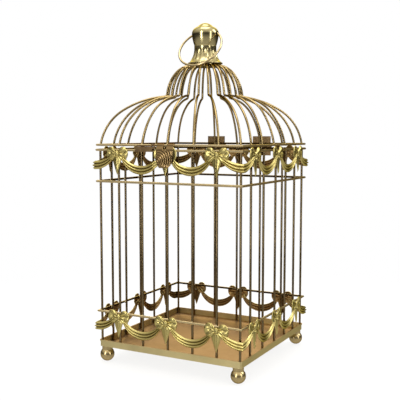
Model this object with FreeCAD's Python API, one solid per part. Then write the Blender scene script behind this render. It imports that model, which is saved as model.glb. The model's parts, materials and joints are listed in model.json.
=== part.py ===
import FreeCAD, Part

import math
import os

# Wire birdcage card holder, in millimetres. +Z is up, the wide front face looks
# along -Y, and the origin is on the table under the middle of the cage.

V = FreeCAD.Vector
X_AXIS = V(1, 0, 0)
Z_AXIS = V(0, 0, 1)

# Driving dimensions
SIDE = 160.0                 # between the centres of two neighbouring corner posts
WIRE_R = 1.2                 # wire of the cage
LID_WIRE_R = 1.15            # wire of the lid
TRAY_BOTTOM_Z = 16.4
TRAY_HEIGHT = 7.0
SHEET = 0.8                  # sheet thickness of the tray
BASE_RAIL_Z = 54.3
MID_RAIL_Z = 190.4
BODY_RING_Z = 222.7
LID_RING_Z = 227.8
KINK_Z = 278.2               # where the big dome meets the small dome
CROWN_Z = 311.2              # centre of the wires where they meet the collar
BALL_Z = 344.1               # centre of the hollow ball, and the hanging ring's axis
TOP_Z = 355.8

# Worked out from them
HALF = SIDE / 2
RIB_PLACES = tuple(share * HALF for share in (-0.7063, -0.3675, 0.0, 0.3675, 0.7063))
BOW_PLACES = (RIB_PLACES[0], 0.0, RIB_PLACES[4])
TOUCH = 0.02                 # hair gap between soldered round wires
FLOOR_Z = TRAY_BOTTOM_Z + SHEET
RAIL_OFFSET = HALF + 2 * WIRE_R + TOUCH
STRIP_FACE = RAIL_OFFSET + WIRE_R + 0.03
LID_HALF = HALF - 0.2
LID_RING_OFFSET = LID_HALF + 2 * LID_WIRE_R + TOUCH

SIDES = {"front": 0, "right": 90, "back": 180, "left": 270}

# Shares of HALF where the hand-set wires of each side stand, along the side seen from outside
WIRE_SHARES = {
    "front": (-0.715, -0.3675, 0.0, 0.352, 0.687),
    "right": (-0.715, -0.335, 0.05, 0.396, 0.715),
    "back": (-0.7063, -0.3675, 0.0, 0.3675, 0.725),
    "left": (-0.64, -0.288, 0.07, 0.432, 0.753),
}
CORNERS = {"front_right": (1, -1), "back_right": (1, 1), "back_left": (-1, 1), "front_left": (-1, -1)}


def save(name, *solids):
    """Write one sub-part; loose identical pieces are separate solids of one node."""
    shape = solids[0] if len(solids) == 1 else Part.makeCompound(list(solids))
    shape.exportStep("parts/" + name + ".step")


def turned(shape, degrees):
    """A copy turned about the cage's middle, to take the front side to another side."""
    copy = shape.copy()
    copy.rotate(V(0, 0, 0), Z_AXIS, degrees)
    return copy


def box(low, high):
    return Part.makeBox(high[0] - low[0], high[1] - low[1], high[2] - low[2], V(*low))


def rounded_square(half, radius, bottom, height):
    """Upright square block with rounded corners."""
    block = box((-half, -half, bottom), (half, half, bottom + height))
    upright = [e for e in block.Edges if abs(e.tangentAt(e.FirstParameter).z) > 0.9]
    return block.makeFillet(radius, upright)


def turned_solid(points):
    """Solid of revolution about Z from (radius, height) points joined by straight lines."""
    outline = [V(r, 0, z) for r, z in points]
    outline.append(outline[0])
    return Part.Face(Part.makePolygon(outline)).revolve(V(0, 0, 0), Z_AXIS, 360)


# Tray and feet

POST_ROOM = 1.3              # from a corner post's centre to the tray wall
TRAY_HALF = HALF + POST_ROOM + SHEET
TRAY_CORNER_R = 2.2
RIM_R = 0.7
FOOT_INSET = 3.5
FOOT_R = 7.4
FOOT_NECK_R = 5.4


def tray():
    outside = rounded_square(TRAY_HALF, TRAY_CORNER_R, TRAY_BOTTOM_Z, TRAY_HEIGHT)
    inside = rounded_square(TRAY_HALF - SHEET, TRAY_CORNER_R - SHEET, FLOOR_Z, TRAY_HEIGHT)
    rim_outside = rounded_square(TRAY_HALF + RIM_R, TRAY_CORNER_R + RIM_R,
                                 TRAY_BOTTOM_Z + TRAY_HEIGHT - 2 * RIM_R, 2 * RIM_R)
    return outside.fuse(rim_outside).cut(inside).removeSplitter()


def foot(corner):
    """Round ball with a short neck under the tray."""
    place = V(corner[0] * (HALF - FOOT_INSET), corner[1] * (HALF - FOOT_INSET), 0)
    ball = Part.makeSphere(FOOT_R, V(0, 0, FOOT_R))
    neck = Part.makeCylinder(FOOT_NECK_R, TRAY_BOTTOM_Z - FOOT_R, V(0, 0, FOOT_R))
    solid = ball.fuse(neck).removeSplitter()
    solid.translate(place)
    return solid


# Cage wires and rails

def post(x, y):
    return Part.makeCylinder(WIRE_R, BODY_RING_Z + WIRE_R - FLOOR_Z, V(x, y, FLOOR_Z))


def square_rail(offset, radius, z):
    """Square frame of round wire with mitred corners."""
    reach = offset + radius
    bar = Part.makeCylinder(radius, 2 * reach, V(-reach, -offset, z), X_AXIS)
    outline = [V(-reach, -reach, 0), V(reach, -reach, 0), V(0, 0, 0), V(-reach, -reach, 0)]
    wedge = Part.Face(Part.makePolygon(outline)).extrude(V(0, 0, 4 * radius))
    wedge.translate(V(0, 0, z - 2 * radius))
    mitred = bar.common(wedge)
    return mitred.fuse([turned(mitred, 90), turned(mitred, 180), turned(mitred, 270)]).removeSplitter()


# Festoon strips: bows on the wires joined by swags, pressed from thin sheet.
# Heights are measured from the rail that carries the strip.

STRIP_T = 1.0
BOW_TOP = 3.6
LOBE_X = 6.9
LOBE_HALF_W = 6.4
LOBE_HALF_H = 7.2
KNOT_R = 3.4
KNOT_Z = -3.0
PENDANT_HALF_W = 6.5
PENDANT_TOP = -7.0
PENDANT_TIP = -25.0
SWAG_END_X = 7.0             # swag ends hide under the bow's lobes
SWAG_END_TOP = -4.5
SWAG_END_BOTTOM = -11.0
SWAG_TOP = -15.5
SWAG_BOTTOM = -24.2
CORNER_SWAG_TOP = -11.5
CORNER_SWAG_BOTTOM = -20.2


def swag(left, right, top, bottom):
    """Sagging band between two bows, in the plane Y = 0."""
    middle = (left + right) / 2
    top_left, top_right = V(left, 0, SWAG_END_TOP), V(right, 0, SWAG_END_TOP)
    low_left, low_right = V(left, 0, SWAG_END_BOTTOM), V(right, 0, SWAG_END_BOTTOM)
    edges = [
        Part.Arc(top_left, V(middle, 0, top), top_right).toShape(),
        Part.LineSegment(top_right, low_right).toShape(),
        Part.Arc(low_right, V(middle, 0, bottom), low_left).toShape(),
        Part.LineSegment(low_left, top_left).toShape(),
    ]
    return Part.Face(Part.Wire(edges)).extrude(V(0, -STRIP_T, 0))


def bow(x):
    """Two puffed loops, a knot and a pointed pendant, in the plane Y = 0."""
    pieces = []
    for side in (-1, 1):
        centre = V(x + side * LOBE_X, 0, BOW_TOP - LOBE_HALF_H)
        loop = Part.Ellipse(centre + V(0, 0, LOBE_HALF_H), centre + V(LOBE_HALF_W, 0, 0), centre)
        pieces.append(Part.Face(Part.Wire(loop.toShape())).extrude(V(0, -STRIP_T, 0)))
    knot = Part.makeCylinder(KNOT_R, STRIP_T, V(x, 0, KNOT_Z), V(0, -1, 0))
    corners = [V(x - PENDANT_HALF_W, 0, PENDANT_TOP), V(x + PENDANT_HALF_W, 0, PENDANT_TOP),
               V(x, 0, PENDANT_TIP), V(x - PENDANT_HALF_W, 0, PENDANT_TOP)]
    pendant = Part.Face(Part.makePolygon(corners)).extrude(V(0, -STRIP_T, 0))
    return pieces + [knot, pendant]


def festoon(rail_z):
    """Strip for the front side; its ends are mitred to meet the next side's strip."""
    corner = STRIP_FACE + STRIP_T
    pieces = [piece for x in BOW_PLACES for piece in bow(x)]
    for left, right in zip(BOW_PLACES, BOW_PLACES[1:]):
        pieces.append(swag(left + SWAG_END_X, right - SWAG_END_X, SWAG_TOP, SWAG_BOTTOM))
    for side in (-1, 1):
        near = side * (BOW_PLACES[2] + SWAG_END_X)
        far = side * 2 * corner - near
        pieces.append(swag(min(near, far), max(near, far), CORNER_SWAG_TOP, CORNER_SWAG_BOTTOM))
    strip = pieces[0].fuse(pieces[1:])
    strip.translate(V(0, -STRIP_FACE, rail_z))
    outline = [V(-corner, -corner, 0), V(corner, -corner, 0), V(0, 0, 0), V(-corner, -corner, 0)]
    wedge = Part.Face(Part.makePolygon(outline)).extrude(V(0, 0, TOP_Z))
    return strip.common(wedge).removeSplitter()


# Dome wires: each rises upright from the lid ring, curves in to the kink, bends up
# sharply and curves in again to the collar.

KINK_CORNER = 0.374 * LID_HALF      # |x| = |y| of a corner wire at the kink
KINK_MIDDLE = 36.3                  # distance of a middle wire from the axis at the kink
KINK_BEND_R = 3.2
FOOT_LEAN = 8.0                     # degrees from upright, at the lid ring
KINK_RISE = 5.0                     # degrees from level, just below the kink
KINK_LEAN = 6.0                     # degrees from upright, just above the kink
COLLAR_R = 13.4
RIB_STEP = 15.0                     # degrees between wires at the collar


def kink_point(x):
    """Where the wire that starts at x on the lid ring reaches the kink, on the front side."""
    kink_x = x / LID_HALF * KINK_CORNER
    drop = (KINK_MIDDLE - KINK_CORNER) * (kink_x / KINK_CORNER) ** 2
    return V(kink_x, -(KINK_MIDDLE - drop), KINK_Z)


def unit(vector):
    return V(vector).normalize()


def leaning(level, degrees):
    """Unit vector along a level direction, raised by an angle."""
    angle = math.radians(degrees)
    return level * math.cos(angle) + Z_AXIS * math.sin(angle)


def arc_through(start, direction, end):
    """Circular arc that leaves start along direction and ends at end."""
    chord = end - start
    along = unit(direction)
    side = chord - along * chord.dot(along)
    radius = chord.dot(chord) / (2 * side.Length)
    centre = start + unit(side) * radius
    middle = centre + unit((start + end) * 0.5 - centre) * radius
    return Part.Arc(start, middle, end).toShape()


def two_arcs(start, start_dir, end, end_dir):
    """Two tangent arcs from one point and direction to another."""
    chord = end - start
    both = start_dir + end_dir
    spread = 2 * (1 - start_dir.dot(end_dir))
    reach = (math.sqrt(chord.dot(both) ** 2 + spread * chord.dot(chord)) - chord.dot(both)) / spread
    near, far = start + start_dir * reach, end - end_dir * reach
    joint = (near + far) * 0.5
    return [arc_through(start, start_dir, joint), arc_through(joint, far - near, end)]


def rib(x, degrees):
    """Dome wire of the front side, from x on the lid ring to that many degrees round the collar."""
    start = V(x, -LID_HALF, LID_RING_Z - LID_WIRE_R)
    kink = kink_point(x)
    azimuth = math.radians(degrees)
    crown_r = COLLAR_R + 0.1
    end = V(crown_r * math.sin(azimuth), -crown_r * math.cos(azimuth), CROWN_Z)
    inward = unit(V(kink.x - start.x, kink.y - start.y, 0))
    to_crown = unit(V(end.x - kink.x, end.y - kink.y, 0))
    leaving = leaning(inward, 90 - FOOT_LEAN)
    arriving = leaning(inward, KINK_RISE)
    upward = leaning(to_crown, 90 - KINK_LEAN)
    turn = arriving.getAngle(upward)
    reach = KINK_BEND_R * math.tan(turn / 2)
    bend_start, bend_end = kink - arriving * reach, kink + upward * reach
    path = two_arcs(start, leaving, bend_start, arriving)
    path.append(arc_through(bend_start, arriving, bend_end))
    path += two_arcs(bend_end, upward, end, to_crown)
    profile = Part.Face(Part.Wire(Part.makeCircle(LID_WIRE_R, start, leaving)))
    return Part.Wire(path).makePipe(profile)


# Finial: collar, bell, hollow ball and button, one above the other

COLLAR_HALF_H = 1.6
COLLAR_TOP_Z = CROWN_Z + COLLAR_HALF_H
BELL_SHEET = 1.0
SCREW_HOLE_R = 2.6


def collar():
    return Part.makeCylinder(COLLAR_R, 2 * COLLAR_HALF_H, V(0, 0, CROWN_Z - COLLAR_HALF_H))


def bell():
    """Spun bell standing on the collar: a thin rim, a hollow flare and a narrow flat-topped neck."""
    rim, top = COLLAR_TOP_Z, BALL_Z - BALL_SEAT
    outside = [(17.6, rim), (18.4, rim + 0.8), (17.2, rim + 1.8), (14.9, rim + 5.0),
               (13.1, rim + 9.0), (12.2, rim + 13.0), (11.7, top)]
    inside = [(SCREW_HOLE_R, top), (SCREW_HOLE_R, top - BELL_SHEET), (10.7, top - BELL_SHEET),
              (11.2, rim + 13.0), (12.1, rim + 9.0), (13.9, rim + 5.0), (12.6, rim + 1.6), (12.6, rim)]
    return turned_solid(outside + inside)


BALL_R = 14.3
BALL_SHEET = 0.8
BALL_SEAT = 12.4             # below its centre the ball stands on the bell
BALL_SEAT_R = 11.5
BALL_OPEN = 7.9              # above its centre the ball is open, under the button
BALL_OPEN_R = 8.1
BALL_WAIST = (13.4, -6.0)    # radius and height of a point between seat and belly
BALL_SHOULDER = (12.6, 5.0)  # and between belly and top
BALL_HOLE_R = 2.7
BUTTON_R = 8.2
SCREW_R = 2.4
SCREW_HEAD_R = 4.6
SCREW_HEAD_H = 1.6


def bulb(inset):
    """Solid of the ball's outline, smaller all round by inset."""
    seat = V(BALL_SEAT_R - inset, 0, BALL_Z - BALL_SEAT)
    waist = V(BALL_WAIST[0] - inset, 0, BALL_Z + BALL_WAIST[1])
    belly = V(BALL_R - inset, 0, BALL_Z)
    shoulder = V(BALL_SHOULDER[0] - inset, 0, BALL_Z + BALL_SHOULDER[1] - inset / 2)
    top = V(BALL_OPEN_R - inset, 0, BALL_Z + BALL_OPEN)
    edges = [
        Part.Arc(seat, waist, belly).toShape(),
        Part.Arc(belly, shoulder, top).toShape(),
        Part.LineSegment(top, V(0, 0, top.z)).toShape(),
        Part.LineSegment(V(0, 0, top.z), V(0, 0, seat.z)).toShape(),
        Part.LineSegment(V(0, 0, seat.z), seat).toShape(),
    ]
    return Part.Face(Part.Wire(edges)).revolve(V(0, 0, 0), Z_AXIS, 360)


def ball():
    """Hollow ball with two side holes for the hanging ring."""
    hole = Part.makeCylinder(BALL_HOLE_R, 4 * BALL_R, V(-2 * BALL_R, 0, BALL_Z), X_AXIS)
    return bulb(0).cut(bulb(BALL_SHEET)).cut(hole)


def button():
    """Domed button that closes the top of the ball."""
    bottom = BALL_Z + BALL_OPEN
    crown = TOP_Z - bottom
    radius = (BUTTON_R ** 2 + crown ** 2) / (2 * crown)
    cap = Part.makeSphere(radius, V(0, 0, TOP_Z - radius))
    return cap.common(Part.makeCylinder(2 * BUTTON_R, crown, V(0, 0, bottom)))


def neck_screw():
    """Short screw through the bell's flat top, its head inside the ball."""
    seat = BALL_Z - BALL_SEAT
    head = Part.makeCylinder(SCREW_HEAD_R, SCREW_HEAD_H, V(0, 0, seat))
    shank = Part.makeCylinder(SCREW_R, seat - COLLAR_TOP_Z, V(0, 0, COLLAR_TOP_Z))
    return head.fuse(shank).removeSplitter()


# Hanging ring: a closed wire ring through the ball's holes

RING_R = 23.9
RING_WIRE_R = 1.1
RING_TILT = 37.0             # degrees forward from hanging straight down
RING_DROP = 19.15            # from the ball's hole axis to the ring's centre


def hanging_ring():
    tilt = math.radians(RING_TILT)
    centre = V(0, -RING_DROP * math.sin(tilt), BALL_Z - RING_DROP * math.cos(tilt))
    normal = V(0, math.cos(tilt), -math.sin(tilt))
    return Part.makeTorus(RING_R, RING_WIRE_R, centre, normal)


# Hinges at the back, one round each pair of facing wires

HINGE_Y = 85.6
HINGE_Z = (BODY_RING_Z + LID_RING_Z) / 2
HINGE_WIDTH = 22.4
LEAF_T = 1.0
LEAF_REACH = 8.5             # past the centre of the ring that carries it
BARREL_R = 2.1
BORE_R = 0.96
PIN_R = 0.9
PIN_END = 0.8                # the pin stands out this far at each end
KNUCKLES = 5
KNUCKLE_GAP = 0.3


def knuckles(x, wanted, radius, gap):
    """Cylinders along the hinge axis for the knuckles whose index parity is wanted."""
    pitch = HINGE_WIDTH / KNUCKLES
    return [Part.makeCylinder(radius, pitch - gap,
                              V(x - HINGE_WIDTH / 2 + i * pitch + gap / 2, HINGE_Y, HINGE_Z), X_AXIS)
            for i in range(KNUCKLES) if i % 2 == wanted]


def hinge_leaf(x, face, far_z, wanted):
    """Flat leaf lying on a ring's outer face, with its own knuckles; wanted is 0 or 1."""
    half_width = (HINGE_WIDTH - KNUCKLE_GAP) / 2
    plate = box((x - half_width, face, min(far_z, HINGE_Z)),
                (x + half_width, face + LEAF_T, max(far_z, HINGE_Z)))
    solid = plate.cut(knuckles(x, 1 - wanted, BARREL_R + KNUCKLE_GAP, -KNUCKLE_GAP))
    solid = solid.fuse(knuckles(x, wanted, BARREL_R, KNUCKLE_GAP))
    bore = Part.makeCylinder(BORE_R, 2 * HINGE_WIDTH, V(x - HINGE_WIDTH, HINGE_Y, HINGE_Z), X_AXIS)
    return solid.cut(bore).removeSplitter()


def hinge_pin(x):
    reach = HINGE_WIDTH / 2 + PIN_END
    return Part.makeCylinder(PIN_R, 2 * reach, V(x - reach, HINGE_Y, HINGE_Z), X_AXIS)


# Hasp: a sheet flap curled round the lid ring, hanging over the front's middle bow

HASP_HALF_W = 9.6
HASP_SHEET = 0.7
HASP_RUNNING = 0.08
HASP_ROOM = 0.3              # between the hasp and the strip behind it
HASP_BULGE = 0.5
HASP_BOTTOM_Z = 206.0
HASP_TOE_H = 6.0             # height of the turned-out lower end
HASP_SPLIT = 2.0             # half the slot that clears the middle wire
HASP_SLOT_Z = LID_RING_Z - 4.5
HASP_FRONT = 87.7


def hasp():
    centre = V(0, -LID_RING_OFFSET, LID_RING_Z)
    bore = LID_WIRE_R + HASP_RUNNING
    tube = Part.makeCylinder(bore + HASP_SHEET, 2 * HASP_HALF_W, centre - X_AXIS * HASP_HALF_W, X_AXIS)
    back = -STRIP_FACE - STRIP_T - HASP_ROOM
    start = V(0, -LID_RING_OFFSET - bore, LID_RING_Z)
    knee = V(0, back, BODY_RING_Z + BOW_TOP + HASP_ROOM)
    ankle = V(0, back, HASP_BOTTOM_Z + HASP_TOE_H)
    belly = V(0, back - HASP_BULGE, (knee.z + ankle.z) / 2)
    toe = V(0, -HASP_FRONT + HASP_SHEET, HASP_BOTTOM_Z)
    step = V(0, -HASP_SHEET, 0)
    edges = [
        Part.LineSegment(start, knee).toShape(),
        Part.Arc(knee, belly, ankle).toShape(),
        Part.LineSegment(ankle, toe).toShape(),
        Part.LineSegment(toe, toe + step).toShape(),
        Part.LineSegment(toe + step, ankle + step).toShape(),
        Part.Arc(ankle + step, belly + step, knee + step).toShape(),
        Part.LineSegment(knee + step, start + step).toShape(),
        Part.LineSegment(start + step, start).toShape(),
    ]
    plate = Part.Face(Part.Wire(edges)).extrude(V(2 * HASP_HALF_W, 0, 0))
    plate.translate(V(-HASP_HALF_W, 0, 0))
    ring_hole = Part.makeCylinder(bore, 4 * HASP_HALF_W, centre - X_AXIS * 2 * HASP_HALF_W, X_AXIS)
    slot_top = LID_RING_Z + 2 * bore
    slot = box((-HASP_SPLIT, -HASP_FRONT, HASP_SLOT_Z), (HASP_SPLIT, -LID_HALF + 2 * bore, slot_top))
    return tube.fuse(plate).cut(ring_hole).cut(slot).removeSplitter()


# Lid rest: a bracket on the front of the body ring, with an eye at one end

REST_LEFT = -34.0
REST_RIGHT = -14.2
REST_FACE = STRIP_FACE + STRIP_T
REST_T = 0.8
REST_TOP_Z = LID_RING_Z - LID_WIRE_R - 0.1
REST_LIP = 1.4               # the plate hangs this far below the ring's centre
REST_DEPTH = REST_FACE - HALF - POST_ROOM
EYE_R = 2.7
EYE_HOLE_R = 1.3


def lid_rest():
    shelf = box((REST_LEFT, -REST_FACE, BODY_RING_Z + WIRE_R),
                (REST_RIGHT, REST_DEPTH - REST_FACE, REST_TOP_Z))
    plate = box((REST_LEFT, -REST_FACE - REST_T, BODY_RING_Z - REST_LIP),
                (REST_RIGHT, -REST_FACE, REST_TOP_Z))
    eye_centre = V(REST_RIGHT + EYE_R / 3, -REST_FACE, LID_RING_Z - REST_T)
    eye = Part.makeCylinder(EYE_R, REST_T, eye_centre, V(0, -1, 0))
    hole = Part.makeCylinder(EYE_HOLE_R, 4 * REST_T, eye_centre + V(0, 2 * REST_T, 0), V(0, -1, 0))
    return shelf.fuse([plate, eye]).cut(hole).removeSplitter()


def main():
    os.makedirs("parts", exist_ok=True)
    save("tray", tray())
    for name, corner in CORNERS.items():
        save("foot_" + name, foot(corner))
        save("post_" + name, post(corner[0] * HALF, corner[1] * HALF))
    corner_rib = rib(LID_HALF, 3 * RIB_STEP)
    for (name, corner), angle in zip(CORNERS.items(), (0, 90, 180, 270)):
        save("rib_" + name, turned(corner_rib, angle))
    for name, angle in SIDES.items():
        save("wires_" + name, *[turned(post(share * HALF, -HALF), angle) for share in WIRE_SHARES[name]])
        save("ribs_" + name, *[turned(rib(x, (i - 2) * RIB_STEP), angle) for i, x in enumerate(RIB_PLACES)])
        save("festoon_upper_" + name, turned(festoon(BODY_RING_Z), angle))
        save("festoon_lower_" + name, turned(festoon(BASE_RAIL_Z), angle))
    save("base_rail", square_rail(RAIL_OFFSET, WIRE_R, BASE_RAIL_Z))
    save("mid_rail", square_rail(RAIL_OFFSET, WIRE_R, MID_RAIL_Z))
    save("body_ring", square_rail(RAIL_OFFSET, WIRE_R, BODY_RING_Z))
    save("lid_ring", square_rail(LID_RING_OFFSET, LID_WIRE_R, LID_RING_Z))
    for name, x in (("left", RIB_PLACES[1]), ("right", RIB_PLACES[3])):
        lid_face = LID_RING_OFFSET + LID_WIRE_R
        save("hinge_leaf_lower_" + name, hinge_leaf(x, STRIP_FACE, BODY_RING_Z - LEAF_REACH, 0))
        save("hinge_leaf_upper_" + name, hinge_leaf(x, lid_face, LID_RING_Z + LEAF_REACH, 1))
        save("hinge_pin_" + name, hinge_pin(x))
    save("lid_rest", lid_rest())
    save("hasp", hasp())
    save("collar", collar())
    save("bell", bell())
    save("ball", ball())
    save("button", button())
    save("neck_screw", neck_screw())
    save("hanging_ring", hanging_ring())


main()
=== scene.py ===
import json
import math

import bpy
from mathutils import Matrix, Vector


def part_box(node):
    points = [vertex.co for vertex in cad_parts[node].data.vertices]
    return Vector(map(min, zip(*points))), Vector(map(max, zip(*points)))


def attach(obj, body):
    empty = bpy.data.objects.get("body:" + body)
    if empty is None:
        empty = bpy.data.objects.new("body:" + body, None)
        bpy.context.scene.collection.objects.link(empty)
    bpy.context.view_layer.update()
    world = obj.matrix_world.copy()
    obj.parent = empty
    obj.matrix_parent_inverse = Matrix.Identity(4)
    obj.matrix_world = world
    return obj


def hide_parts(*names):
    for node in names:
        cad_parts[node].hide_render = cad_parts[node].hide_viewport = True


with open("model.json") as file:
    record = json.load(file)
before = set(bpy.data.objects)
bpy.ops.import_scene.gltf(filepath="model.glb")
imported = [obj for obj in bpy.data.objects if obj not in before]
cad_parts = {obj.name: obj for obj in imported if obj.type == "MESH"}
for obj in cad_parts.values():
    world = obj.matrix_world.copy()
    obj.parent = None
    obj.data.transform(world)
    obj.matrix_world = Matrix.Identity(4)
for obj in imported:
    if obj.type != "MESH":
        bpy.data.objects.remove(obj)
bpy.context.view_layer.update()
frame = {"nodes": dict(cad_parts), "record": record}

# Sizes are in millimetres and become metres when a mesh is made.
MM = 0.001


def middle(name, axis):
    """Middle of a CAD node's box along one axis, in millimetres."""
    low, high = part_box(name)
    return (low[axis] + high[axis]) / 2 / MM


HALF = middle("post_front_right", 0)                # from the axis to a corner post

# Places of the dome's wires, and of the uprights on each side, as shares of HALF
RIB_SHARES = (-0.7063, -0.3675, 0.0, 0.3675, 0.7063)
WIRE_SHARES = {
    "front": (-0.715, -0.3675, 0.0, 0.352, 0.687),
    "right": (-0.715, -0.335, 0.05, 0.396, 0.715),
    "back": (-0.7063, -0.3675, 0.0, 0.3675, 0.725),
    "left": (-0.64, -0.288, 0.07, 0.432, 0.753),
}

WIRE_R = (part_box("post_front_right")[1].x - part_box("post_front_right")[0].x) / 2 / MM
LID_WIRE_R = (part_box("lid_ring")[1].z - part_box("lid_ring")[0].z) / 2 / MM
LID_HALF = -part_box("lid_ring")[0].y / MM - 3 * LID_WIRE_R    # the dome's wires stand inside the ring
BOW_PLACES = (RIB_SHARES[0] * HALF, 0.0, RIB_SHARES[4] * HALF)
RAIL_Z = {"upper": middle("body_ring", 2), "lower": middle("base_rail", 2)}
MID_RAIL_Z = middle("mid_rail", 2)
LID_RING_Z = middle("lid_ring", 2)
STRIP_INNER = -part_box("festoon_upper_front")[1].y / MM
STRIP_OUTER = -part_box("festoon_upper_front")[0].y / MM
SIDES = {"front": 0, "right": 90, "back": 180, "left": 270}

# Colours, linear
WIRE_GOLD = (0.36, 0.27, 0.125, 1)
# Painted shade that darkens the hollows of most finishes
WIRE_HOLLOW_SHADE = (0.045, 0.027, 0.009, 1)
# Browner copy of the wire gold for the uprights: painted shade
UPRIGHT_SHADE_GOLD = (0.20, 0.148, 0.078, 1)
# Paler copy of the wire gold for the rails and the hanging ring: painted highlight
HIGHLIGHT_WIRE_GOLD = (0.58, 0.47, 0.27, 1)
SATIN_GOLD = (0.56, 0.475, 0.185, 1)
# Painted shade that darkens the strips' hollows
SATIN_HOLLOW_SHADE = (0.085, 0.052, 0.013, 1)
# Darker copy of the satin gold for the strips' backs: painted shade
SATIN_BACK_SHADE = (0.30, 0.19, 0.075, 1)
PALE_GOLD = (0.52, 0.45, 0.24, 1)
# Rosier tone for the tray's level faces: painted reflection
ROSE_REFLECTION_TONE = (0.38, 0.25, 0.145, 1)
WALL_GOLD = (0.66, 0.56, 0.29, 1)
FOOT_GOLD = (0.52, 0.41, 0.21, 1)
HINGE_BROWN = (0.24, 0.16, 0.08, 1)
HASP_BROWN = (0.30, 0.205, 0.095, 1)
SOLDER_GOLD = (0.66, 0.55, 0.32, 1)


# Metal finishes. Noises are (scale per metre, detail, roughness); pointiness is 0.5 on a flat face.

DRIFT_NOISE = (38.0, 3.0, 0.6)
SMUDGE_NOISE = (95.0, 6.0, 0.7)
RIPPLE_NOISE = (240.0, 4.0, 0.6)
RIPPLE_HEIGHT = 0.0004
TONE_STOPS = (0.30, 0.66)            # noise levels of the darker tone and of the plain one
TONE_DIP = 0.85
HOLLOW = (0.44, 0.497)               # pointiness of a full hollow, and where its painted shade starts
EDGE = (0.53, 0.62)                  # pointiness where the painted edge highlight starts, and of a sharp edge
# Gain of the painted edge highlight over the plain colour
EDGE_GAIN = 1.25
EDGE_TINT = 0.7
LEVEL = (0.6, 0.95)                  # the normal's upward part, up to which a face is upright, and level

# Slot: material name, colour, colour of the painted shade in hollows, lowest and highest roughness,
# ripple, strength of the painted edge highlight, floor colour painted as reflection on the tray's level
# faces
FINISHES = {
    "wire": ("wire_gold", WIRE_GOLD, WIRE_HOLLOW_SHADE, 0.08, 0.15, 0.03, 0.5),
    "upright_wire": ("upright_wire_gold", UPRIGHT_SHADE_GOLD, WIRE_HOLLOW_SHADE, 0.08, 0.15, 0.03, 0.5),
    "pale_wire": ("pale_wire_gold", HIGHLIGHT_WIRE_GOLD, WIRE_HOLLOW_SHADE, 0.12, 0.22, 0.20, 0.5),
    "tray_sheet": ("tray_rose_gold", WALL_GOLD, WIRE_HOLLOW_SHADE, 0.36, 0.46, 0.12, 0.5, ROSE_REFLECTION_TONE),
    "ball_feet": ("foot_gold", FOOT_GOLD, WIRE_HOLLOW_SHADE, 0.18, 0.30, 0.10, 0.5),
    "festoon_sheet": ("festoon_satin_gold", SATIN_GOLD, SATIN_HOLLOW_SHADE, 0.24, 0.38, 0.30, 0.8),
    "festoon_back": ("festoon_satin_back", SATIN_BACK_SHADE, SATIN_HOLLOW_SHADE, 0.38, 0.52, 0.30, 0.2),
    "hinge_metal": ("hinge_brown", HINGE_BROWN, WIRE_HOLLOW_SHADE, 0.30, 0.48, 0.30, 0.5),
    "hasp_metal": ("hasp_brown", HASP_BROWN, WIRE_HOLLOW_SHADE, 0.12, 0.24, 0.30, 0.9),
    "finial": ("finial_pale_gold", PALE_GOLD, WIRE_HOLLOW_SHADE, 0.14, 0.26, 0.10, 0.5),
    "solder": ("solder_gold", SOLDER_GOLD, WIRE_HOLLOW_SHADE, 0.18, 0.32, 0.20, 0.5),
}


class Nodes:
    """A new material's node tree, with short calls to add and link nodes."""

    def __init__(self, name):
        self.material = bpy.data.materials.new(name)
        self.material.use_nodes = True
        self.tree = self.material.node_tree
        self.shader = self.tree.nodes["Principled BSDF"]

    def add(self, kind, **values):
        node = self.tree.nodes.new(kind)
        for key, value in values.items():
            setattr(node, key, value)
        return node

    def link(self, source, target):
        self.tree.links.new(source, target)

    def noise(self, scale, detail, roughness):
        """Noise fixed to the object's own space."""
        coordinates = self.add("ShaderNodeTexCoord")
        noise = self.add("ShaderNodeTexNoise")
        noise.inputs["Scale"].default_value = scale
        noise.inputs["Detail"].default_value = detail
        noise.inputs["Roughness"].default_value = roughness
        self.link(coordinates.outputs["Object"], noise.inputs["Vector"])
        return noise.outputs["Fac"]

    def ramp(self, source, stops):
        ramp = self.add("ShaderNodeValToRGB")
        elements = ramp.color_ramp.elements
        while len(elements) < len(stops):
            elements.new(0.5)
        for element, (position, colour) in zip(elements, stops):
            element.position = position
            element.color = colour
        self.link(source, ramp.inputs["Fac"])
        return ramp.outputs["Color"]

    def map_range(self, source, low, high, from_low=0.3, from_high=0.7):
        """Stretch a range to another one; the range given by default is the one that noise fills."""
        node = self.add("ShaderNodeMapRange")
        node.inputs["From Min"].default_value = from_low
        node.inputs["From Max"].default_value = from_high
        node.inputs["To Min"].default_value = low
        node.inputs["To Max"].default_value = high
        self.link(source, node.inputs["Value"])
        return node.outputs["Result"]

    def mix(self, factor, first, second):
        node = self.add("ShaderNodeMix", data_type="RGBA")
        self.link(factor, node.inputs["Factor"])
        for socket, value in ((node.inputs["A"], first), (node.inputs["B"], second)):
            if isinstance(value, tuple):
                socket.default_value = value
            else:
                self.link(value, socket)
        return node.outputs["Result"]

    def bump(self, height, strength, distance):
        node = self.add("ShaderNodeBump")
        node.inputs["Strength"].default_value = strength
        node.inputs["Distance"].default_value = distance
        self.link(height, node.inputs["Height"])
        self.link(node.outputs["Normal"], self.shader.inputs["Normal"])


def shade(colour, factor):
    return tuple(min(1.0, channel * factor) for channel in colour[:3]) + (1,)


def drifting(nodes, drift, colour):
    """A colour that is a little darker in places."""
    return nodes.ramp(drift, [(TONE_STOPS[0], shade(colour, TONE_DIP)), (TONE_STOPS[1], colour)])


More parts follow.
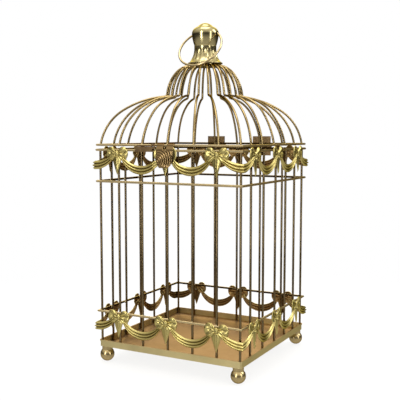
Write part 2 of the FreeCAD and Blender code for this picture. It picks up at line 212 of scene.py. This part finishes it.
def paint_hollows_and_edges(nodes, geometry, tone, light, dark, edge_highlight):
    """Painted shade darkens the hollows, and a painted highlight brightens the sharp edges."""
    hollow = nodes.map_range(geometry.outputs["Pointiness"], 1.0, 0.0, *HOLLOW)
    hollow_shade = nodes.mix(hollow, tone, dark)
    edge = nodes.map_range(geometry.outputs["Pointiness"], 0.0, edge_highlight, *EDGE)
    return nodes.mix(edge, hollow_shade, shade(light, EDGE_GAIN))


def by_level(nodes, geometry, wall, floor):
    """One tone on upright faces, and on level ones another that is painted reflection."""
    normal = nodes.add("ShaderNodeSeparateXYZ")
    nodes.link(geometry.outputs["Normal"], normal.inputs["Vector"])
    return nodes.mix(nodes.map_range(normal.outputs["Z"], 0.0, 1.0, *LEVEL), wall, floor)


def plated_metal(name, light, dark, rough_low, rough_high, ripple, edge_highlight, floor=None):
    """Gold plate whose tone drifts, with painted shade in hollows and painted highlights on edges; a
    floor colour is for the tray, whose faces are too wide for these, and is painted reflection on its
    level faces.
    """
    nodes = Nodes(name)
    nodes.shader.inputs["Metallic"].default_value = 1.0
    nodes.shader.inputs["Specular Tint"].default_value = shade(light, EDGE_TINT)
    drift = nodes.noise(*DRIFT_NOISE)
    tone = drifting(nodes, drift, light)
    geometry = nodes.add("ShaderNodeNewGeometry")
    if floor:
        # The tray's level faces get a rosier tone as painted reflection
        tone = by_level(nodes, geometry, tone, drifting(nodes, drift, floor))
    else:
        # Painted shade in hollows and painted highlights on edges
        tone = paint_hollows_and_edges(nodes, geometry, tone, light, dark, edge_highlight)
    nodes.link(tone, nodes.shader.inputs["Base Color"])
    smudge = nodes.noise(*SMUDGE_NOISE)
    nodes.link(nodes.map_range(smudge, rough_low, rough_high), nodes.shader.inputs["Roughness"])
    nodes.bump(nodes.noise(*RIPPLE_NOISE), ripple, RIPPLE_HEIGHT)
    return nodes.material


def make_materials():
    return {slot: plated_metal(*finish) for slot, finish in FINISHES.items()}


# Meshes

class Sheet:
    """Collects surface patches, in millimetres, into one mesh."""

    def __init__(self):
        self.points = []
        self.faces = []

    def grid(self, rows, closed=False, gap=None):
        """Quads between rows of points; closed joins last row to first, gap leaves quads out."""
        start = len(self.points)
        width = len(rows[0])
        for row in rows:
            self.points.extend(row)
        last = len(rows) if closed else len(rows) - 1
        for i in range(last):
            here = start + i * width
            there = start + (i + 1) % len(rows) * width
            for j in range(width - 1):
                if not gap or not gap(i, j):
                    self.faces.append((here + j, here + j + 1, there + j + 1, there + j))

    def fan(self, centre, rings):
        """Disc of rings round one centre point."""
        middle_index = len(self.points)
        self.points.append(centre)
        around = len(rings[0])
        first = len(self.points)
        for i in range(around):
            self.faces.append((middle_index, first + i, first + (i + 1) % around))
        for ring in rings:
            self.points.extend(ring)
        for r in range(len(rings) - 1):
            for i in range(around):
                a = first + r * around + i
                b = first + r * around + (i + 1) % around
                self.faces.append((a, a + around, b + around, b))

    def piece(self, name, turn=0.0):
        """The mesh as a new object, turned about the cage's axis."""
        matrix = Matrix.Rotation(math.radians(turn), 4, "Z") @ Matrix.Scale(MM, 4)
        mesh = bpy.data.meshes.new(name)
        mesh.from_pydata([matrix @ Vector(p) for p in self.points], [], self.faces)
        mesh.validate()
        for face in mesh.polygons:
            face.use_smooth = True
        piece = bpy.data.objects.new(name, mesh)
        bpy.context.collection.objects.link(piece)
        return piece


def finish_piece(piece, material, body):
    piece.data.materials.append(material)
    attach(piece, body)


def thicken(piece, thickness, back_shade_material=None):
    """Give a sheet its thickness inward, with a darker finish on its back as painted shade if one is
    given.
    """
    solid = piece.modifiers.new("thickness", "SOLIDIFY")
    solid.thickness = thickness * MM
    solid.offset = -1.0
    if back_shade_material:
        piece.data.materials.append(back_shade_material)
        solid.material_offset = 1


# Bow and swag strips. They are made for the front side, where out from the cage is -Y, and then turned.

RIDGE_POWER = 0.8                    # below 1, so that the ridges of all pressed pieces are rounded
SHEET_T = 0.4
SHEET_GAP = 0.08
SHEET_OUT = STRIP_INNER + SHEET_GAP + SHEET_T     # front of the sheet where it has no relief
LOOP_X = 6.9
LOOP_Z = -3.5
LOOP_HALF_W = 6.4
LOOP_HALF_H = 7.2
LOOP_PUFF = 1.2
LOOP_STEPS = 12
LOOP_AROUND = 56
LOOP_TAPER = 0.5                     # share by which a loop narrows towards the knot
LOOP_WAVE = 0.22
LOOP_WAVES = 7
PLEATS = 9
PLEAT_DEPTH = 0.5
PLEAT_RISE = 3.2                     # the pleats reach full depth 1/3.2 of the way out
PLEAT_FADE = 4.0                     # and fade in the last quarter
DENT_DEPTH = 1.1
DENT_OFF = 0.8                       # the eye's place from the loop's middle, outward and up
DENT_HALF_W = 3.2
DENT_HALF_H = 1.5
KNOT_Z = -3.6
KNOT_HALF_W = 2.5
KNOT_HALF_H = 3.3
KNOT_PUFF = 2.0
KNOT_ROUND = 0.96                    # below 1, so that the knot's rim stands off the sheet
KNOT_STEPS = 7
KNOT_AROUND = 32
CREASE_HEIGHT = 0.28
CREASE_TURN = 3.4                    # radians of crease per millimetre across
PENDANT_TOP = -6.4
PENDANT_WIDE_Z = -9.5
PENDANT_TIP = -25.0
PENDANT_HALF_W = 5.4
PENDANT_TOP_SHARE = 0.45
PENDANT_POWER = 0.9                  # below 1, so that the leaf's sides bulge
PENDANT_TIP_HALF_W = 0.25
PENDANT_RIDGE = 1.3
PENDANT_FOLD = 0.35
PENDANT_FOLDS = 3
PENDANT_FADE = 6                     # the relief fades in the last sixth, towards the tip
PENDANT_STEPS = 26
PENDANT_ACROSS = 16
RIM_LIFT = 0.12
SWAG_END_X = 6.4
SWAG_END_TOP = -4.5
SWAG_END_BOTTOM = -11.0
SWAG_LOW = (-15.5, -24.2)
CORNER_SWAG_LOW = (-11.5, -20.2)
SWAG_RELIEF = 1.45
SWAG_RIDGES = 3
SWAG_CREST = 1.7                     # above 1 narrows the ridges and widens the grooves
SWAG_BASE = 0.6
SWAG_CROWN = 0.35
SWAG_STEPS = 44
CORNER_SWAG_STEPS = 24
SWAG_ACROSS = 24
MITRE_START = 0.8                    # from this share on, a corner swag bends to the mitre
HASP_HALF_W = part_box("hasp")[1].x / MM
HASP_MARGIN = 1.0
HASP_BLEND = 3.0                     # width beside the hasp over which the relief rises again
FLAT_SHARE = 0.12                    # share of the relief that is left behind the hasp


def loop_relief(side, across, up, u):
    """How far a bow loop stands out; pleats run out from the knot and the loop's eye is pressed in."""
    from_knot = math.atan2(up - KNOT_Z, abs(across))
    fade = min(1.0, PLEAT_RISE * u) * min(1.0, PLEAT_FADE * (1 - u))
    pleat = PLEAT_DEPTH * math.cos(PLEATS * from_knot + side) * fade
    eye_x = (abs(across) - LOOP_X - DENT_OFF) / DENT_HALF_W
    eye_z = (up - LOOP_Z - DENT_OFF) / DENT_HALF_H
    dent = DENT_DEPTH * math.exp(-(eye_x ** 2 + eye_z ** 2))
    return LOOP_PUFF * math.sqrt(max(0.0, 1 - u * u)) + pleat - dent


def add_loop(sheet, x, rail_z, side):
    rings = []
    for r in range(1, LOOP_STEPS + 1):
        u = r / LOOP_STEPS
        ring = []
        for i in range(LOOP_AROUND):
            angle = 2 * math.pi * i / LOOP_AROUND
            taper = 1 - LOOP_TAPER * min(0.0, math.cos(angle)) ** 2
            across = side * (LOOP_X + u * LOOP_HALF_W * math.cos(angle))
            wave = LOOP_WAVE * math.sin(LOOP_WAVES * angle) * u * u
            up = LOOP_Z + u * (LOOP_HALF_H * math.sin(angle) * taper + wave)
            out = SHEET_OUT + loop_relief(side, across, up, u)
            ring.append((x + across, -out, rail_z + up))
        rings.append(ring[::side])
    centre_out = SHEET_OUT + loop_relief(side, side * LOOP_X, LOOP_Z, 0.0)
    sheet.fan((x + side * LOOP_X, -centre_out, rail_z + LOOP_Z), rings)


def add_knot(sheet, x, rail_z):
    rings = []
    for r in range(1, KNOT_STEPS + 1):
        u = r / KNOT_STEPS
        ring = []
        for i in range(KNOT_AROUND):
            angle = 2 * math.pi * i / KNOT_AROUND
            across = u * KNOT_HALF_W * math.cos(angle)
            crease = CREASE_HEIGHT * math.cos(across * CREASE_TURN) * (1 - u)
            out = SHEET_OUT + KNOT_PUFF * math.sqrt(1 - KNOT_ROUND * u * u) + crease
            ring.append((x + across, -out, rail_z + KNOT_Z + u * KNOT_HALF_H * math.sin(angle)))
        rings.append(ring)
    sheet.fan((x, -SHEET_OUT - KNOT_PUFF - CREASE_HEIGHT, rail_z + KNOT_Z), rings)


def pendant_half_width(t):
    """Half width at share t of the way down: it widens to the widest place, then narrows to the tip."""
    widest = (PENDANT_WIDE_Z - PENDANT_TOP) / (PENDANT_TIP - PENDANT_TOP)
    if t < widest:
        share = PENDANT_TOP_SHARE + (1 - PENDANT_TOP_SHARE) * t / widest
    else:
        share = (1 - t) / (1 - widest)
    return max(PENDANT_TIP_HALF_W, PENDANT_HALF_W * share ** PENDANT_POWER)


def add_pendant(sheet, x, rail_z):
    """Two crossed ribbon ends under the knot, pressed as one pointed leaf with a ridge."""
    rows = []
    for i in range(PENDANT_STEPS + 1):
        t = i / PENDANT_STEPS
        z = PENDANT_TOP + (PENDANT_TIP - PENDANT_TOP) * t
        half = pendant_half_width(t)
        fade = min(1.0, PENDANT_FADE * (1 - t))
        row = []
        for j in range(PENDANT_ACROSS + 1):
            v = 2 * j / PENDANT_ACROSS - 1
            ridge = (1 - abs(v)) ** RIDGE_POWER
            fold = PENDANT_FOLD * math.cos(PENDANT_FOLDS * math.pi * v) * (1 - abs(v)) * (1 - t)
            out = SHEET_OUT + fade * (PENDANT_RIDGE * ridge + fold + RIM_LIFT)
            row.append((x + half * v, -out, rail_z + z))
        rows.append(row[::-1])
    sheet.grid(rows)


def sagging(left, right, end_z, low_z, t):
    """Point at share t of the arc that hangs between two ends; returns (along, up)."""
    half = (right - left) / 2
    sag = end_z - low_z
    radius = (half * half + sag * sag) / (2 * sag)
    opening = math.asin(min(1.0, half / radius))
    if sag > half:
        opening = math.pi - opening
    angle = opening * (2 * t - 1)
    return (left + right) / 2 + radius * math.sin(angle), low_z + radius * (1 - math.cos(angle))


def to_mitre(along, left, out, t):
    """A point of a corner swag, drawn towards the corner's mitre near the swag's middle."""
    share = 2 * t
    if share > MITRE_START:
        along = left + (along - left) * (1 - share) + (out - left) * share
    return min(along, out)


def add_swag(sheet, left, right, low, rail_z, whole=True):
    """Garland band with three ridges; whole is False where it ends at the corner's mitre."""
    rows = []
    steps = SWAG_STEPS if whole else CORNER_SWAG_STEPS
    for i in range(steps + 1):
        t = i / steps if whole else 0.5 * i / steps
        top = sagging(left, right, SWAG_END_TOP, low[0], t)
        bottom = sagging(left, right, SWAG_END_BOTTOM, low[1], t)
        row = []
        for j in range(SWAG_ACROSS + 1):
            s = j / SWAG_ACROSS
            ridge = abs(math.sin(SWAG_RIDGES * math.pi * s)) ** SWAG_CREST
            crown = SWAG_CROWN * math.sin(math.pi * s)
            out = SHEET_OUT + RIM_LIFT + SWAG_RELIEF * ridge * (SWAG_BASE + crown) + crown
            along = top[0] + (bottom[0] - top[0]) * s
            if not whole:
                along = to_mitre(along, left, out, t)
            row.append((along, -out, rail_z + top[1] + (bottom[1] - top[1]) * s))
        rows.append(row)
    sheet.grid(rows)


def mirrored(sheet):
    """The same patches on the other side of the strip's middle."""
    copy = Sheet()
    copy.points = [(-x, y, z) for x, y, z in sheet.points]
    copy.faces = [face[::-1] for face in sheet.faces]
    return copy


def join(sheet, other):
    start = len(sheet.points)
    sheet.points.extend(other.points)
    sheet.faces.extend(tuple(start + i for i in face) for face in other.faces)


def press_flat(sheet):
    """Press the patches nearly flat behind the hasp, so that it hangs clear."""
    points = []
    for x, y, z in sheet.points:
        beside = (abs(x) - HASP_HALF_W - HASP_MARGIN) / HASP_BLEND
        share = FLAT_SHARE + (1 - FLAT_SHARE) * min(1.0, max(0.0, beside))
        points.append((x, -SHEET_OUT - (-y - SHEET_OUT) * share, z))
    sheet.points = points


def make_strip(row, side, material, back_shade_material):
    """One pressed strip; the swags are mirrored, and the one behind the hasp is pressed flat there."""
    rail_z = RAIL_Z[row]
    sheet = Sheet()
    for x in BOW_PLACES:
        add_pendant(sheet, x, rail_z)
        for hand in (-1, 1):
            add_loop(sheet, x, rail_z, hand)
        add_knot(sheet, x, rail_z)
    half = Sheet()
    add_swag(half, SWAG_END_X, BOW_PLACES[2] - SWAG_END_X, SWAG_LOW, rail_z)
    near = BOW_PLACES[2] + SWAG_END_X
    add_swag(half, near, 2 * STRIP_OUTER - near, CORNER_SWAG_LOW, rail_z, whole=False)
    join(sheet, half)
    join(sheet, mirrored(half))
    if (row, side) == ("upper", "front"):
        press_flat(sheet)
    piece = sheet.piece("strip_" + row + "_" + side, SIDES[side])
    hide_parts("festoon_" + row + "_" + side)
    finish_piece(piece, material, "cage")
    thicken(piece, SHEET_T, back_shade_material)


# Fluted bell

BELL_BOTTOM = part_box("bell")[0].z / MM
BELL_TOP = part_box("bell")[1].z / MM
FLUTES = 16
FLUTE_DEPTH = 0.075
BELL_RIM_R = 17.6
BELL_NECK_R = 11.7
RIM_BEAD_R = 0.8
RIM_STEPS = 8
FLARE_START_Z = 2 * RIM_BEAD_R + 0.2
FLARE_INSET = 0.6                    # the flare starts this far inside the bead's middle
FLARE_POWER = 2.6
FLARE_STEPS = 26
FLUTE_START = 0.06                   # flutes run over these shares of the flare
FLUTE_SPAN = 0.80
BELL_INNER_R = 12.8
BELL_HOLE_R = 2.7
BELL_SHOULDER = 0.4
BELL_SHEET = 0.5
BELL_AROUND = 176


def bell_outline():
    """(radius, height, flute share) from the inside bottom, round the beaded rim, up to the neck."""
    outline = [(BELL_INNER_R, 0.0, 0)]
    for i in range(RIM_STEPS + 1):
        angle = math.pi * (i / RIM_STEPS - 0.5)
        radius = BELL_RIM_R + RIM_BEAD_R * math.cos(angle)
        outline.append((radius, RIM_BEAD_R * (1 + math.sin(angle)), 0))
    height = BELL_TOP - BELL_BOTTOM
    flare_height = height - BELL_SHOULDER - FLARE_START_Z
    flare_width = BELL_RIM_R - FLARE_INSET - BELL_NECK_R
    for i in range(FLARE_STEPS + 1):
        t = i / FLARE_STEPS
        radius = BELL_NECK_R + flare_width * (1 - t) ** FLARE_POWER
        place = min(1.0, max(0.0, (t - FLUTE_START) / FLUTE_SPAN))
        share = math.sin(math.pi * place) ** RIDGE_POWER
        outline.append((radius, FLARE_START_Z + flare_height * t, share))
    outline += [(BELL_NECK_R, height, 0), (BELL_HOLE_R, height, 0)]
    return outline


def make_bell(material):
    rows = []
    for i in range(BELL_AROUND):
        angle = 2 * math.pi * i / BELL_AROUND
        row = []
        for radius, height, share in bell_outline():
            r = radius * (1 - FLUTE_DEPTH * share * (0.5 + 0.5 * math.cos(FLUTES * angle)))
            row.append((r * math.cos(angle), r * math.sin(angle), BELL_BOTTOM + height))
        rows.append(row[::-1])
    sheet = Sheet()
    sheet.grid(rows, closed=True)
    piece = sheet.piece("fluted_bell")
    thicken(piece, BELL_SHEET)
    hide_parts("bell")
    finish_piece(piece, material, "lid")


# Hasp: a sheet curled round the lid ring, its flap pressed with curling ribs

HASP_LOW_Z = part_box("hasp")[0].z / MM
HASP_FRONT = -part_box("hasp")[0].y / MM
LID_RING_OUT = -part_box("lid_ring")[0].y / MM - LID_WIRE_R
HASP_SHEET = 0.6
HASP_CLEARANCE = 0.08
HASP_CURL_R = LID_WIRE_R + HASP_CLEARANCE + HASP_SHEET      # outer radius of the curl
HASP_FLAP_Z = 223.0                  # the slot for the middle wire ends here
HASP_FLAP_OUT = STRIP_OUTER + 1.0
HASP_SLOT_HALF_W = 2.0
HASP_TOE_H = 5.0
HASP_TOE_POWER = 1.5
HASP_BELLY = 0.5
HASP_TAPER = 0.75
HASP_TAPER_START = 0.4               # share of the flap's height from which its sides draw in
HASP_COLUMNS = 72
CURL_START = 215                     # degrees, behind the lid ring
CURL_TURN = 14
CURL_STEPS = 14
NECK_STEPS = 8
FLAP_STEPS = 36
FLAP_ROW = CURL_STEPS + NECK_STEPS   # the path's row where the flap starts
HASP_RIB_PITCH = 2.4
HASP_RIB_DEPTH = 0.7
HASP_RIB_CENTRE = (-6.5, 7.0)        # the ribs curl round this point, from its middle and its lower end
RIB_FADES = (6, 4, 8)                # steepness with which the ribs fade at the top, toe and sides


def hasp_path():
    """(out, height) of the hasp's outer face, from behind the lid ring over the top to the toe."""
    path = []
    for i in range(CURL_STEPS + 1):
        angle = math.radians(CURL_START - CURL_TURN * i)
        out = LID_RING_OUT + HASP_CURL_R * math.cos(angle)
        path.append((out, LID_RING_Z + HASP_CURL_R * math.sin(angle)))
    neck_out, neck_z = path[-1]
    for i in range(1, NECK_STEPS + 1):
        t = i / NECK_STEPS
        bend = t * t * (3 - 2 * t)
        path.append((neck_out + (HASP_FLAP_OUT - neck_out) * bend, neck_z + (HASP_FLAP_Z - neck_z) * t))
    for i in range(1, FLAP_STEPS + 1):
        t = i / FLAP_STEPS
        z = HASP_FLAP_Z + (HASP_LOW_Z - HASP_FLAP_Z) * t
        toe = max(0.0, 1 - (z - HASP_LOW_Z) / HASP_TOE_H) ** HASP_TOE_POWER
        belly = HASP_BELLY * math.sin(math.pi * t)
        path.append((HASP_FLAP_OUT + belly + (HASP_FRONT - HASP_FLAP_OUT) * toe, z))
    return path


def hasp_rib(across, z, t, v):
    """Height of the pressed ribs, which fade out at the flap's top, toe and sides."""
    reach = math.hypot(across - HASP_RIB_CENTRE[0], z - HASP_LOW_Z - HASP_RIB_CENTRE[1])
    spread = 1.0
    for fade, share in zip(RIB_FADES, (t, 1 - t, 1 - abs(v))):
        spread *= min(1.0, fade * share)
    return HASP_RIB_DEPTH * spread * abs(math.sin(math.pi * reach / HASP_RIB_PITCH)) ** RIDGE_POWER


def hasp_rows():
    path = hasp_path()
    rows = []
    for i, (out, z) in enumerate(path):
        t = max(0.0, (i - FLAP_ROW) / FLAP_STEPS)
        drawn = max(0.0, (t - HASP_TAPER_START) / (1 - HASP_TAPER_START))
        width = HASP_HALF_W * math.sqrt(1 - HASP_TAPER * drawn ** 2)
        row = []
        for j in range(HASP_COLUMNS + 1):
            v = 2 * j / HASP_COLUMNS - 1
            across = width * v
            row.append((across, -min(out + hasp_rib(across, z, t, v), HASP_FRONT), z))
        rows.append(row[::-1])
    return rows


def in_hasp_slot(row, column):
    centre = 2 * (column + 0.5) / HASP_COLUMNS - 1
    return row < FLAP_ROW and abs(centre) < HASP_SLOT_HALF_W / HASP_HALF_W


def make_hasp(material):
    sheet = Sheet()
    sheet.grid(hasp_rows(), gap=in_hasp_slot)
    piece = sheet.piece("hasp_flap")
    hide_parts("hasp")
    finish_piece(piece, material, "hasp")
    thicken(piece, HASP_SHEET)


# Solder beads where the uprights meet the rails

BEAD_OVER = 1.25                     # bead radius over wire radius
BEAD_FLAT = 0.5
BEAD_SEGMENTS = 10
BEAD_UNEVEN = 0.10                   # size difference from bead to bead
BEAD_PHASE = 7.3
BEAD_LUMP = 0.12


def add_bead(sheet, x, out, z, radius, index):
    """Small lump of solder, a little uneven from bead to bead."""
    size = radius * (1 + BEAD_UNEVEN * math.sin(BEAD_PHASE * index))
    rings = []
    for r in range(1, BEAD_SEGMENTS):
        polar = math.pi * r / BEAD_SEGMENTS
        ring = []
        for i in range(BEAD_SEGMENTS):
            angle = -2 * math.pi * i / BEAD_SEGMENTS
            lump = 1 + BEAD_LUMP * math.sin(2 * angle + index) * math.sin(polar)
            reach = size * lump * math.sin(polar)
            y = -out + BEAD_FLAT * size * math.cos(polar)
            ring.append((x + reach * math.cos(angle), y, z + reach * math.sin(angle)))
        rings.append(ring)
    sheet.fan((x, -out + BEAD_FLAT * size, z), rings)
    sheet.points.append((x, -out - BEAD_FLAT * size, z))
    last = len(sheet.points) - 1
    base = last - BEAD_SEGMENTS
    for i in range(BEAD_SEGMENTS):
        sheet.faces.append((last, base + (i + 1) % BEAD_SEGMENTS, base + i))


def make_solder(name, body, shares, wire_r, centre, heights, material):
    """Beads between a rail and the wires whose shares of HALF are given for each side."""
    sheet = Sheet()
    for side_name, turn in SIDES.items():
        side = Sheet()
        for row, z in enumerate(heights):
            for column, share in enumerate(shares[side_name]):
                index = row * len(shares[side_name]) + column + turn
                add_bead(side, share * HALF, centre + wire_r, z, BEAD_OVER * wire_r, index)
        matrix = Matrix.Rotation(math.radians(turn), 3, "Z")
        side.points = [tuple(matrix @ Vector(p)) for p in side.points]
        join(sheet, side)
    finish_piece(sheet.piece(name), material, body)


# CAD nodes keep their shape and get a finish, and the sharp edges of the sheet parts are softened

HIGHLIGHT_WIRES = ("hanging_ring", "lid_ring", "mid_rail", "body_ring", "base_rail")
UPRIGHTS = ("post_", "wires_")
SOFT_EDGES = ("tray", "collar", "button", "ball", "lid_rest", "hinge_leaf")
SOFT_EDGE_W = 0.25
SOFT_EDGE_SEGMENTS = 2
SOFT_EDGE_ANGLE = 50                 # degrees; edges sharper than this are softened


def finish_of(name, slots):
    """The record's slot, except that the rails get a paler copy of the wire gold as painted highlight,
    and the uprights a browner copy as painted shade.
    """
    if name in HIGHLIGHT_WIRES:
        return "pale_wire"
    if name.startswith(UPRIGHTS):
        return "upright_wire"
    return slots[name]


def paint_frame(materials):
    slots = {part["node"]: part["material_slot"] for part in frame["record"]["subparts"]}
    for name, piece in frame["nodes"].items():
        material = materials[finish_of(name, slots)]
        if not piece.material_slots:
            piece.data.materials.append(material)
        for slot in piece.material_slots:
            slot.material = material
        if name.startswith(SOFT_EDGES):
            bevel = piece.modifiers.new("soft_edges", "BEVEL")
            bevel.width = SOFT_EDGE_W * MM
            bevel.segments = SOFT_EDGE_SEGMENTS
            bevel.limit_method = "ANGLE"
            bevel.angle_limit = math.radians(SOFT_EDGE_ANGLE)


# Setting: pale floor, soft boxes, camera, in metres

FLOOR_WHITE = (0.95, 0.95, 0.94, 1)
FLOOR_NOISE = (4.0, 2.0, 0.6)
FLOOR_ROUGHNESS = (0.75, 0.85)
FLOOR_SOLID = 0.12                   # radius up to which the floor has its full density
FLOOR_EDGE = 0.50
FLOOR_DENSITY = 0.15
FLOOR_AROUND = 64
AIM_HEIGHT = 0.18                    # the soft boxes aim at this height
LENS = 66.1                          # millimetres, as is the sensor's width
SENSOR = 36.0
CAMERA_PLACE = (0.3702, -0.6994, 0.2393)
CAMERA_FORWARD = (-0.4722, 0.8769, -0.0901)

# Levels of the room that the metal reflects: 0 is straight down, 0.5 eye level, 1 straight up
ROOM = [(0.0, 0.70), (0.38, 0.50), (0.45, 0.05), (0.54, 0.02), (0.63, 0.36), (0.76, 0.8), (1.0, 1.5)]
ROOM_TINT = (1.0, 0.95, 0.86)
LAMP_WARM = (1.0, 0.98, 0.93)
LAMP_WHITE = (1.0, 1.0, 1.0)

# Soft boxes: name, azimuth and elevation in degrees, distance, width, height, watts, colour
SOFT_BOXES = [
    ("key", -6, 12, 1.5, 0.30, 1.3, 9.0, LAMP_WARM),
    ("front_right", 75, 12, 1.6, 0.24, 1.3, 5.5, LAMP_WARM),
    ("back", -152, 34, 1.7, 1.60, 0.8, 15.0, LAMP_WHITE),
    ("back_right", 120, 34, 1.7, 0.60, 0.8, 7.0, LAMP_WHITE),
    ("top", 0, 88, 1.5, 1.0, 1.0, 9.0, LAMP_WHITE),
]


def make_floor():
    """White disc that fades out, so no horizon shows."""
    nodes = Nodes("floor_white")
    nodes.shader.inputs["Base Color"].default_value = FLOOR_WHITE
    fleck = nodes.noise(*FLOOR_NOISE)
    nodes.link(nodes.map_range(fleck, *FLOOR_ROUGHNESS), nodes.shader.inputs["Roughness"])
    coordinates = nodes.add("ShaderNodeTexCoord")
    length = nodes.add("ShaderNodeVectorMath", operation="LENGTH")
    nodes.link(coordinates.outputs["Object"], length.inputs[0])
    distance = length.outputs["Value"]
    fade = nodes.map_range(distance, FLOOR_DENSITY, 0.0, FLOOR_SOLID, FLOOR_EDGE)
    nodes.link(fade, nodes.shader.inputs["Alpha"])
    corners = []
    for i in range(FLOOR_AROUND):
        angle = 2 * math.pi * i / FLOOR_AROUND
        corners.append((FLOOR_EDGE * math.cos(angle), FLOOR_EDGE * math.sin(angle), 0))
    mesh = bpy.data.meshes.new("floor")
    mesh.from_pydata(corners, [], [tuple(range(FLOOR_AROUND))])
    floor = bpy.data.objects.new("floor", mesh)
    bpy.context.collection.objects.link(floor)
    floor.data.materials.append(nodes.material)


def soft_box(name, azimuth, elevation, distance, width, height, power, colour):
    """Area light aimed at the cage's middle; azimuth 0 stands in front of the cage, at -Y."""
    turn, rise = math.radians(azimuth), math.radians(elevation)
    flat = math.cos(rise)
    offset = Vector((math.sin(turn) * flat, -math.cos(turn) * flat, math.sin(rise)))
    light = bpy.data.lights.new(name, "AREA")
    light.shape = "RECTANGLE"
    light.size, light.size_y = width, height
    light.energy = power
    light.color = colour
    lamp = bpy.data.objects.new(name, light)
    lamp.location = Vector((0, 0, AIM_HEIGHT)) + offset * distance
    lamp.rotation_euler = (-offset).to_track_quat("-Z", "Y").to_euler()
    bpy.context.collection.objects.link(lamp)


def make_world():
    """White to the camera; the metal sees a room that is dark at eye level, lighter above and below."""
    world = bpy.data.worlds.new("studio")
    bpy.context.scene.world = world
    world.use_nodes = True
    tree = world.node_tree
    background = tree.nodes["Background"]
    coordinates = tree.nodes.new("ShaderNodeTexCoord")
    split = tree.nodes.new("ShaderNodeSeparateXYZ")
    tree.links.new(coordinates.outputs["Generated"], split.inputs["Vector"])
    rise = tree.nodes.new("ShaderNodeMapRange")
    rise.inputs["From Min"].default_value = -1.0
    tree.links.new(split.outputs["Z"], rise.inputs["Value"])
    ramp = tree.nodes.new("ShaderNodeValToRGB")
    elements = ramp.color_ramp.elements
    for _ in range(len(ROOM) - len(elements)):
        elements.new(0.5)
    for element, (height, level) in zip(elements, ROOM):
        element.position = height
        element.color = tuple(level * tint for tint in ROOM_TINT) + (1,)
    tree.links.new(rise.outputs["Result"], ramp.inputs["Fac"])
    path = tree.nodes.new("ShaderNodeLightPath")
    mix = tree.nodes.new("ShaderNodeMix")
    mix.data_type = "RGBA"
    mix.inputs["B"].default_value = (1.0, 1.0, 1.0, 1)
    tree.links.new(ramp.outputs["Color"], mix.inputs["A"])
    tree.links.new(path.outputs["Is Camera Ray"], mix.inputs["Factor"])
    tree.links.new(mix.outputs["Result"], background.inputs["Color"])


def make_lights():
    for box in SOFT_BOXES:
        soft_box(*box)


def make_camera():
    data = bpy.data.cameras.new("camera")
    data.lens = LENS
    data.sensor_width = SENSOR
    camera = bpy.data.objects.new("camera", data)
    camera.location = CAMERA_PLACE
    camera.rotation_euler = Vector(CAMERA_FORWARD).to_track_quat("-Z", "Y").to_euler()
    bpy.context.collection.objects.link(camera)
    bpy.context.scene.camera = camera


make_camera()
materials = make_materials()
paint_frame(materials)
for row in RAIL_Z:
    for side in SIDES:
        make_strip(row, side, materials["festoon_sheet"], materials["festoon_back"])
make_bell(materials["finial"])
make_hasp(materials["hasp_metal"])
cage_rails = (RAIL_Z["lower"], MID_RAIL_Z, RAIL_Z["upper"])
rib_shares = {side: RIB_SHARES for side in SIDES}
make_solder("solder_cage", "cage", WIRE_SHARES, WIRE_R, HALF, cage_rails, materials["solder"])
make_solder("solder_lid", "lid", rib_shares, LID_WIRE_R, LID_HALF, (LID_RING_Z,), materials["solder"])
make_floor()
make_lights()
make_world()
bpy.context.scene.view_settings.view_transform = "Standard"
